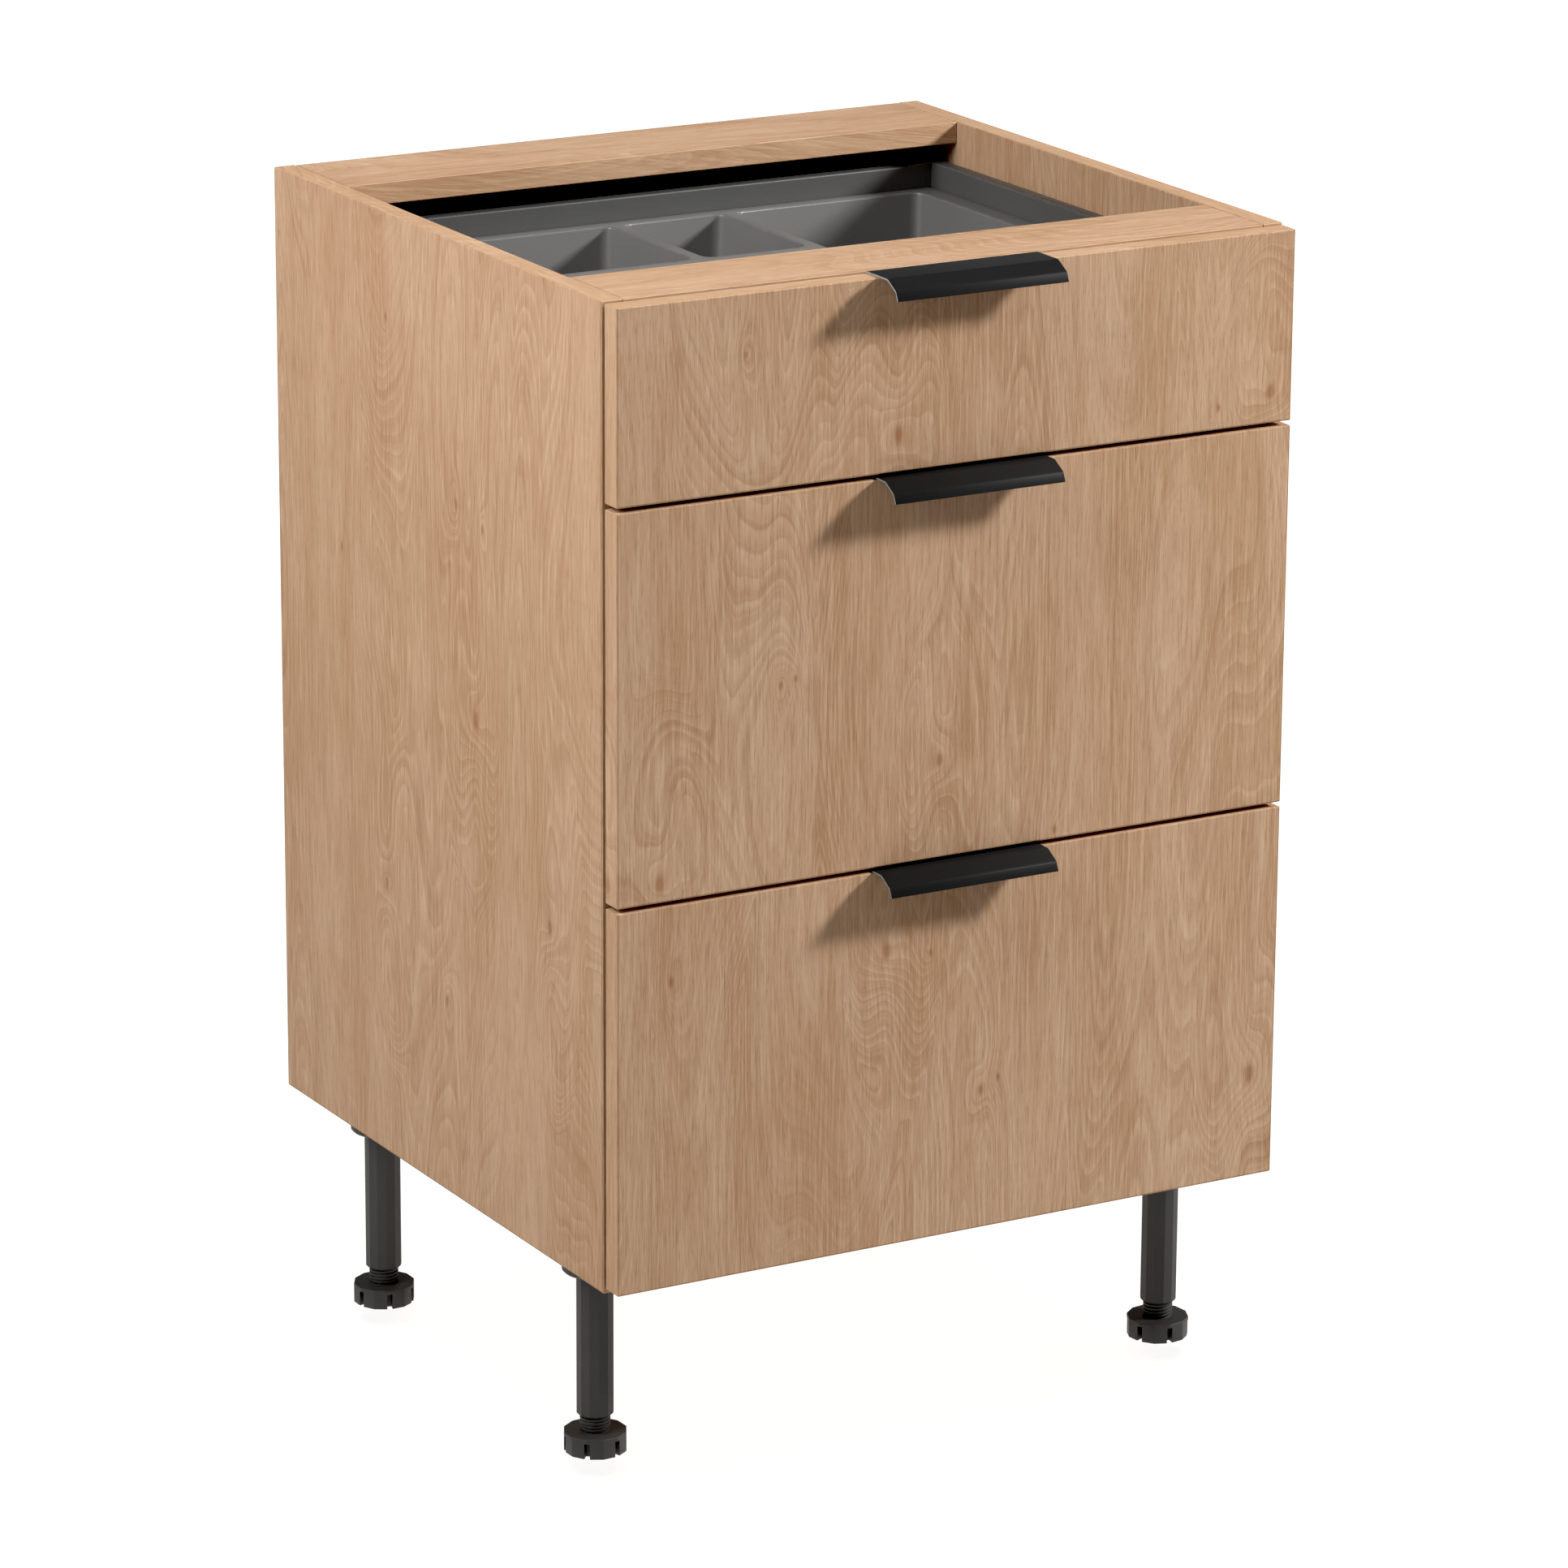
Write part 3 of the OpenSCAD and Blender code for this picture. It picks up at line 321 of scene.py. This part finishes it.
    ring_brown = tint(134, 97, 67)
    cloud = step(speckle(place, (17.0, 2.6, 1.0), 3.0, 0.6), 0.34, 0.66)
    colour = blend_paint(cloud, tint(182, 151, 124), tint(169, 135, 106))
    for amount, layer in (
        (times(streak, 0.40), tint(157, 119, 88)),
        (times(season, scaled(clearness, 0.12, 0.16)), ring_brown),
        (times(ring, scaled(clearness, 0.15, 0.03)), ring_brown),
        (times(pale, scaled(clearness, 0.36, 0.10)), tint(203, 177, 149)),
        (times(step(fibre, 0.45, 0.72), 0.54), tint(136, 100, 72)),
        (times(step(thread, 0.56, 0.30), 0.36), tint(195, 168, 140)),
        (times(pore, 0.14), tint(105, 73, 48)),
    ):
        colour = blend_paint(amount, colour, layer)
    if knots:
        colour = blend_paint(times(step(core, 0.15, 0.8), 0.55), colour, tint(128, 78, 45))
    colour = blend_paint(times(band, 0.14), colour, tint(189, 152, 117))
    # The thin brown line: glue line and painted shade, only at the sides and the lower end
    colour = blend_paint(times(glue_shade, 0.55), colour, tint(86, 60, 40))

    relief = scaled(ring, 0.4, minus(fibre, pore))
    link_paint(shader, colour, scaled(fibre, 0.16, 0.60), relief, strength=0.35, height=0.0002)
    shader.inputs["IOR"].default_value = 1.46
    shader.inputs["Specular IOR Level"].default_value = 0.10
    return material


def finish_node(node, material):
    """Gives a CAD node its detailed finish."""
    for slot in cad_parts[node].material_slots:
        slot.material = material


X, Y, Z = 0, 1, 2
left_knots = (
    (-0.016, 0.737, 0.008), (-0.060, 0.727, 0.006), (-0.047, 0.571, 0.013), (0.104, 0.862, 0.006),
    (0.188, 0.657, 0.006), (0.113, 0.395, 0.009), (-0.170, 0.437, 0.010), (0.007, 0.325, 0.008),
)
right_knots = ((0.05, 0.55, 0.010), (-0.12, 0.70, 0.008))
finish_node("side_panel_left", oak("oak_side_left", "side_panel_left", X, Z, 3.1, left_knots))
finish_node("side_panel_right", oak("oak_side_right", "side_panel_right", X, Z, 7.4, right_knots))
finish_node("bottom_panel", oak("oak_bottom", "bottom_panel", Z, X, 5.2))
finish_node("front_rail", oak("oak_front_rail", "front_rail", Z, X, 9.6, figure=0.7))
finish_node("back_rail", oak("oak_back_rail", "back_rail", Z, X, 12.3, edge_slant=0.16, figure=0.8))


# Back
# A 3 mm sheet of hardboard, coated black. It is slid into grooves of the sides, the bottom and the
# back rail.
def coated(name, light, dark, grain, roughness, height, metallic=0.0, shine=0.5):
    """Even coating or moulded surface, with a fine grain in relief and faint clouds in its tone."""
    material, shader, coordinates = new_paint(name)
    fine = speckle(coordinates["Object"], (grain, grain, grain), 2.0, 0.6)
    wide = speckle(coordinates["Object"], (7.0, 7.0, 7.0), 2.0, 0.5)
    mix, variation = scaled(fine, 0.6, times(wide, 0.4)), 0.18
    colour = blend_paint(step(mix, 0.30, 0.70), light, dark)
    rough = scaled(mix, variation, roughness - variation / 2)
    link_paint(shader, colour, rough, fine, strength=0.5, height=height)
    shader.inputs["Metallic"].default_value = metallic
    shader.inputs["Specular IOR Level"].default_value = shine
    return material


hardboard = coated("black_hardboard", tint(20, 19, 18), tint(14, 13, 13), 900, 0.75, 0.0001)
finish_node("back_panel", hardboard)

# Fittings
# Zinc-plated cam bolts and cam housings pull the boards together, and beech dowels keep them in
# line. Zinc-plated screws hold the sockets, the runners, the handles and the drawer fronts.
zinc = coated("zinc_plate", tint(176, 178, 180), tint(150, 151, 153), 1400, 0.42, 0.00004,
              metallic=0.55)
beech = coated("raw_beech", tint(222, 190, 148), tint(202, 168, 124), 700, 0.7, 0.0002)
finish_node("wood_dowels", beech)
for fitting in ("cam_bolts", "cam_housings", "leg_screws", "runner_screws"):
    finish_node(fitting, zinc)
levels = ("top", "middle", "bottom")
for level in levels:
    finish_node("front_screws_" + level, zinc)
    finish_node("front_brackets_" + level, zinc)

# Legs
# Each leg is moulded black plastic with a fine spark-eroded grain: a round socket screwed under the
# bottom panel and a twelve-sided stem that is pushed into it. The stem's lower end has a bevel.
leg_plastic = coated("black_leg_plastic", tint(46, 45, 43), tint(33, 32, 31), 2200, 0.56, 0.00014)
finish_node("leg_sockets", leg_plastic)
corners = ("front_left", "front_right", "back_left", "back_right")
for corner in corners:
    finish_node("leg_stem_" + corner, leg_plastic)


# Feet
# A foot is one moulding: a twelve-sided disc with six spanner slots, and a threaded spindle that
# turns in the stem. Turning it levels the cabinet, so each foot has stopped at its own angle.
def take_up(piece):
    """Selects one piece alone."""
    bpy.ops.object.select_all(action="DESELECT")
    piece.select_set(True)
    bpy.context.view_layer.objects.active = piece


def edit(piece):
    """Opens the mesh of one piece."""
    take_up(piece)
    bpy.ops.object.mode_set(mode="EDIT")
    return bmesh.from_edit_mesh(piece.data)


def pick(piece, parts, wanted):
    """Selects only the faces or edges that the test accepts."""
    bpy.ops.mesh.select_all(action="DESELECT")
    for part in parts:
        if wanted(part):
            part.select_set(True)
    bmesh.update_edit_mesh(piece.data)


def apply_modifier(piece, kind, **settings):
    take_up(piece)
    modifier = piece.modifiers.new(kind.lower(), kind)
    for setting, value in settings.items():
        setattr(modifier, setting, value)
    bpy.ops.object.modifier_apply(modifier=modifier.name)


def combine(piece, other, operation):
    """Cuts the other solid out of the piece (DIFFERENCE) or joins it on (UNION)."""
    apply_modifier(piece, "BOOLEAN", operation=operation, object=other, solver="EXACT")
    bpy.data.objects.remove(other)


def settle(piece):
    """Puts the piece's place, turn and scale into its mesh."""
    take_up(piece)
    bpy.ops.object.transform_apply(location=True, rotation=True, scale=True)


def paint_whole(piece, material):
    piece.data.materials.clear()
    piece.data.materials.append(material)


def copy_of(piece, name, move):
    """Copy with its own mesh, moved in the mesh."""
    twin = piece.copy()
    twin.data = piece.data.copy()
    twin.name = name
    scene.collection.objects.link(twin)
    twin.data.transform(move)
    return twin


disc_height, disc_radius = 0.0165, 0.0255
slot_top, slot_width, slot_length, slot_middle, below = 0.0129, 0.0044, 0.010, 0.0235, 0.005
bpy.ops.mesh.primitive_cylinder_add(
    vertices=12, radius=disc_radius, depth=disc_height,
    location=(0, 0, disc_height / 2), rotation=(0, 0, math.radians(90)))
foot = bpy.context.object
settle(foot)
for number in range(6):
    angle = math.radians(60 * number)
    centre = (slot_middle * math.cos(angle), slot_middle * math.sin(angle), slot_top / 2 - below)
    bpy.ops.mesh.primitive_cube_add(size=1, location=centre, rotation=(0, 0, angle))
    cutter = bpy.context.object
    cutter.scale = (slot_length, slot_width, slot_top + 2 * below)
    settle(cutter)
    combine(foot, cutter, "DIFFERENCE")
apply_modifier(foot, "BEVEL", width=0.0005, segments=3, limit_method="ANGLE",
               angle_limit=math.radians(25))

# The thread's section is drawn over one pitch (crest, flank, root, flank) and wound up the spindle
pitch, crest, root, turns = 0.003, 0.0121, 0.0111, 19
bpy.ops.mesh.primitive_plane_add(size=0.001, location=(crest, 0, disc_height - 2 * pitch))
spindle = bpy.context.object
settle(spindle)
edit(spindle)
bpy.ops.mesh.select_all(action="SELECT")
bpy.ops.mesh.merge(type="CENTER")
for outward, pitches in ((0, 0.50), (root - crest, 0.20), (0, 0.08), (crest - root, 0.22)):
    bpy.ops.mesh.extrude_vertices_move(
        TRANSFORM_OT_translate={"value": (outward, 0, pitches * pitch)})
bpy.ops.object.mode_set(mode="OBJECT")
apply_modifier(spindle, "SCREW", angle=2 * math.pi, screw_offset=pitch, iterations=turns, steps=40,
               render_steps=40, use_merge_vertices=True, merge_threshold=0.00001)
edit(spindle)
bpy.ops.mesh.select_all(action="SELECT")
bpy.ops.mesh.remove_doubles(threshold=0.00002)
bpy.ops.mesh.normals_make_consistent(inside=False)
bpy.ops.object.mode_set(mode="OBJECT")

take_up(foot)
spindle.select_set(True)
bpy.ops.object.join()
bpy.ops.object.shade_smooth_by_angle(angle=math.radians(32))
paint_whole(foot, leg_plastic)
for corner, stopped_at in zip(corners, (47, 22, 15, 40)):
    low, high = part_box("leg_stem_" + corner)
    stand = Matrix.Translation(((low.x + high.x) / 2, (low.y + high.y) / 2, 0))
    turn = Matrix.Rotation(math.radians(stopped_at), 4, "Z")
    one_foot = copy_of(foot, "threaded_foot_" + corner, stand @ turn)
    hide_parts("foot_" + corner)
    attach(one_foot, "foot_" + corner)
bpy.data.objects.remove(foot)

# Runners
# Each runner is three lengths of folded zinc-plated steel: a rail screwed to the side panel, a
# carriage that goes half the way, and a slide under the drawer. They hook into each other.
for level in levels:
    for piece_name in ("runner_rails_", "runner_carriages_", "runner_slides_"):
        finish_node(piece_name + level, zinc)

# Drawer boxes
# Double-walled steel sides with a rolled rim, a folded steel back and corner posts, powder coated
# in grey with a fine texture. The bottom is a 16 mm board with a matching grey foil.
powder_coat = coated("grey_powder_coat", tint(84, 84, 83), tint(73, 73, 72), 1500, 0.42, 0.00007)
grey_foil = coated("grey_foil", tint(90, 90, 91), tint(80, 80, 81), 420, 0.62, 0.00008)
for level in levels:
    for piece_name in ("drawer_side_left_", "drawer_side_right_", "drawer_back_", "back_corners_"):
        finish_node(piece_name + level, powder_coat)
    finish_node("drawer_bottom_" + level, grey_foil)

# Cutlery tray
# One moulding of grey plastic, 2 mm thick: a rim with a skirt, and six compartments with sloping
# walls, round corners and soft floors. It lies loose in the top drawer.
low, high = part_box("cutlery_tray")
sheet, skirt_height, rim_round = 0.002, 0.012, 0.004
mouth_round, corner_round, floor_round, slope = 0.0016, 0.009, 0.005, 0.005
# Left, right, front and back of each compartment, from the tray's left front corner
compartments = (
    (0.019, 0.111, 0.019, 0.307), (0.123, 0.215, 0.019, 0.307), (0.227, 0.319, 0.019, 0.307),
    (0.019, 0.215, 0.319, 0.461), (0.227, 0.319, 0.319, 0.461), (0.331, 0.507, 0.019, 0.461),
)


def block(name, start, end):
    """Plain block between two opposite corners."""
    start, end = Vector(start), Vector(end)
    bpy.ops.mesh.primitive_cube_add(size=1, location=(start + end) / 2)
    made = bpy.context.object
    made.name = name
    made.scale = end - start
    settle(made)
    return made


def at_height(edge, height):
    return all(abs(vertex.co.z - height) < 0.00005 for vertex in edge.verts)


def upright(edge):
    return abs(edge.verts[0].co.z - edge.verts[1].co.z) > 0.005


def pocket(room, grow, bottom, top):
    """Solid that fills a compartment, with its sloping walls moved out by grow."""
    left, right, front, back = room
    made = block("pocket", (low.x + left - grow, low.y + front - grow, bottom),
                 (low.x + right + grow, low.y + back + grow, top))
    mesh = edit(made)
    pick(made, mesh.faces, lambda face: face.normal.z < -0.9)
    bpy.ops.transform.resize(
        value=(1 - slope / (right - left + 2 * grow), 1 - slope / (back - front + 2 * grow), 1),
        center_override=(low.x + (left + right) / 2, low.y + (front + back) / 2, bottom))
    mesh = bmesh.from_edit_mesh(made.data)
    pick(made, mesh.edges, upright)
    bpy.ops.mesh.bevel(offset=corner_round + grow, segments=7)
    mesh = bmesh.from_edit_mesh(made.data)
    pick(made, mesh.edges, lambda edge: at_height(edge, bottom))
    bpy.ops.mesh.bevel(offset=floor_round + grow, segments=5)
    bpy.ops.object.mode_set(mode="OBJECT")
    return made


tray = block("cutlery_tray_moulding", (low.x, low.y, high.z - skirt_height), high)
mesh = edit(tray)
pick(tray, mesh.edges, upright)
bpy.ops.mesh.bevel(offset=rim_round, segments=5)
bpy.ops.object.mode_set(mode="OBJECT")
hollow = block("hollow", (low.x + sheet, low.y + sheet, high.z - 0.02),
               (high.x - sheet, high.y - sheet, high.z - sheet))
combine(tray, hollow, "DIFFERENCE")
for room in compartments:
    combine(tray, pocket(room, sheet, low.z, high.z - sheet / 2), "UNION")
for room in compartments:
    combine(tray, pocket(room, 0, low.z + sheet, high.z + 0.001), "DIFFERENCE")
mesh = edit(tray)
bpy.ops.mesh.select_all(action="SELECT")
bpy.ops.mesh.remove_doubles(threshold=0.00001)
bpy.ops.mesh.dissolve_limited(angle_limit=math.radians(0.2))
mesh = bmesh.from_edit_mesh(tray.data)
pick(tray, mesh.edges, lambda edge: (
    at_height(edge, high.z) and len(edge.link_faces) == 2 and edge.calc_face_angle(0) > 0.9))
bpy.ops.mesh.bevel(offset=mouth_round, segments=4, loop_slide=False)
bpy.ops.object.mode_set(mode="OBJECT")
bpy.ops.object.shade_smooth_by_angle(angle=math.radians(38))
tray_plastic = coated("grey_tray_plastic", tint(106, 105, 104), tint(95, 94, 93),
                      1900, 0.34, 0.00008)
paint_whole(tray, tray_plastic)
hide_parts("cutlery_tray")
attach(tray, "drawer_top")

# Drawer fronts
# Chipboard, 19 mm, with the same oak-effect foil and an upright grain. All four edges are banded.
# Brackets of the drawer box are screwed to the back of each front.
front_knots = {
    "top": ((-0.057, 0.821, 0.012), (0.279, 0.817, 0.012), (0.231, 0.809, 0.005),
            (-0.189, 0.897, 0.005)),
    "middle": ((-0.158, 0.637, 0.006), (-0.145, 0.641, 0.005), (-0.017, 0.559, 0.009),
               (-0.262, 0.495, 0.012), (0.088, 0.488, 0.006)),
    "bottom": ((-0.063, 0.411, 0.011), (-0.252, 0.416, 0.007), (-0.023, 0.404, 0.005),
               (0.024, 0.284, 0.007), (0.040, 0.292, 0.005), (0.275, 0.256, 0.014)),
}
for level, seed in zip(levels, (21.0, 24.7, 28.1)):
    node = "drawer_front_" + level
    finish_node(node, oak("oak_front_" + level, node, Y, Z, seed, front_knots[level]))

# Handles
# Extruded aluminium, anodised satin black and cut square to length, so that bare metal shows along
# the cut; its light grey there is also a painted glint. A leg with two countersunk holes is screwed
# behind the front, a flange lies over its top edge, and the grip slopes down to a short lip.
low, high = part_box("handle_top")
half_sheet, leg_height, hole_aside = 0.00075, 0.016, 0.048
front_top, front_back = high.z - 2 * half_sheet, high.y - 2 * half_sheet
leg_middle = front_back + half_sheet
bpy.ops.mesh.primitive_plane_add(size=1, location=(0, leg_middle, front_top - leg_height))
handle = bpy.context.object
handle.scale = (high.x - low.x, 0.001, 1)
settle(handle)

# The plane shrinks to its back edge, which is drawn up the leg and on over flange, grip and lip.
# Then the bends between them are rounded, and the sheet gets its thickness.
mesh = edit(handle)
pick(handle, mesh.edges, lambda edge: min(v.co.y for v in edge.verts) > leg_middle)
bpy.ops.mesh.select_all(action="INVERT")
bpy.ops.mesh.delete(type="VERT")
mesh = bmesh.from_edit_mesh(handle.data)
for vertex in mesh.verts:
    vertex.co.y = leg_middle
bpy.ops.mesh.select_all(action="SELECT")
for forward, rise in ((0, leg_height + half_sheet), (0.0315, 0), (0.0125, -0.007),
                      (0.00305, -0.007)):
    bpy.ops.mesh.extrude_edges_move(TRANSFORM_OT_translate={"value": (0, -forward, rise)})
mesh = bmesh.from_edit_mesh(handle.data)
lengthways = [edge for edge in mesh.edges if len(edge.link_faces) == 2
              and abs(edge.verts[0].co.x - edge.verts[1].co.x) > 0.01]
folds = sorted({round(edge.verts[0].co.y, 5) for edge in lengthways})
for fold, roundness in zip(folds, (0.0011, 0.0009, 0.0016)):
    mesh = bmesh.from_edit_mesh(handle.data)
    pick(handle, mesh.edges, lambda edge: len(edge.link_faces) == 2 and all(
        abs(vertex.co.y - fold) < 0.0002 for vertex in edge.verts))
    bpy.ops.mesh.bevel(offset=roundness, segments=8)
bpy.ops.object.mode_set(mode="OBJECT")
apply_modifier(handle, "SOLIDIFY", thickness=2 * half_sheet, offset=0)
for side in (-1, 1):
    bpy.ops.mesh.primitive_cone_add(
        vertices=48, radius1=0.0018, radius2=0.00325, depth=0.0016,
        location=(side * hole_aside, leg_middle, front_top - leg_height / 2),
        rotation=(-math.pi / 2, 0, 0))
    cutter = bpy.context.object
    settle(cutter)
    combine(handle, cutter, "DIFFERENCE")
apply_modifier(handle, "BEVEL", width=0.0002, segments=2, limit_method="ANGLE",
               angle_limit=math.radians(50))
bpy.ops.object.shade_smooth_by_angle(angle=math.radians(30))

# The ends face sideways. There the bare metal of the cut shows, in a light grey that is also a
# painted glint
anodised = coated("black_anodised", tint(37, 37, 37), tint(31, 31, 31), 1700, 0.46, 0.00002,
                  shine=0.04)
paint_tree = anodised.node_tree
black = paint_tree.nodes["Principled BSDF"].inputs["Base Color"].links[0].from_socket
normal = add_node(paint_tree, "TexCoord").outputs["Normal"]
sideways = add_node(paint_tree, "SeparateXYZ", normal).outputs[X]
cut_and_glint = calc("GREATER_THAN", calc("ABSOLUTE", sideways), 0.5)
paint_tree.links.new(blend_paint(cut_and_glint, black, tint(140, 140, 138)),
                     paint_tree.nodes["Principled BSDF"].inputs["Base Color"])
paint_whole(handle, anodised)
for level in levels:
    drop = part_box("handle_" + level)[1].z - high.z
    one_handle = copy_of(handle, "edge_pull_" + level, Matrix.Translation((0, 0, drop)))
    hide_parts("handle_" + level)
    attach(one_handle, "drawer_" + level)
bpy.data.objects.remove(handle)
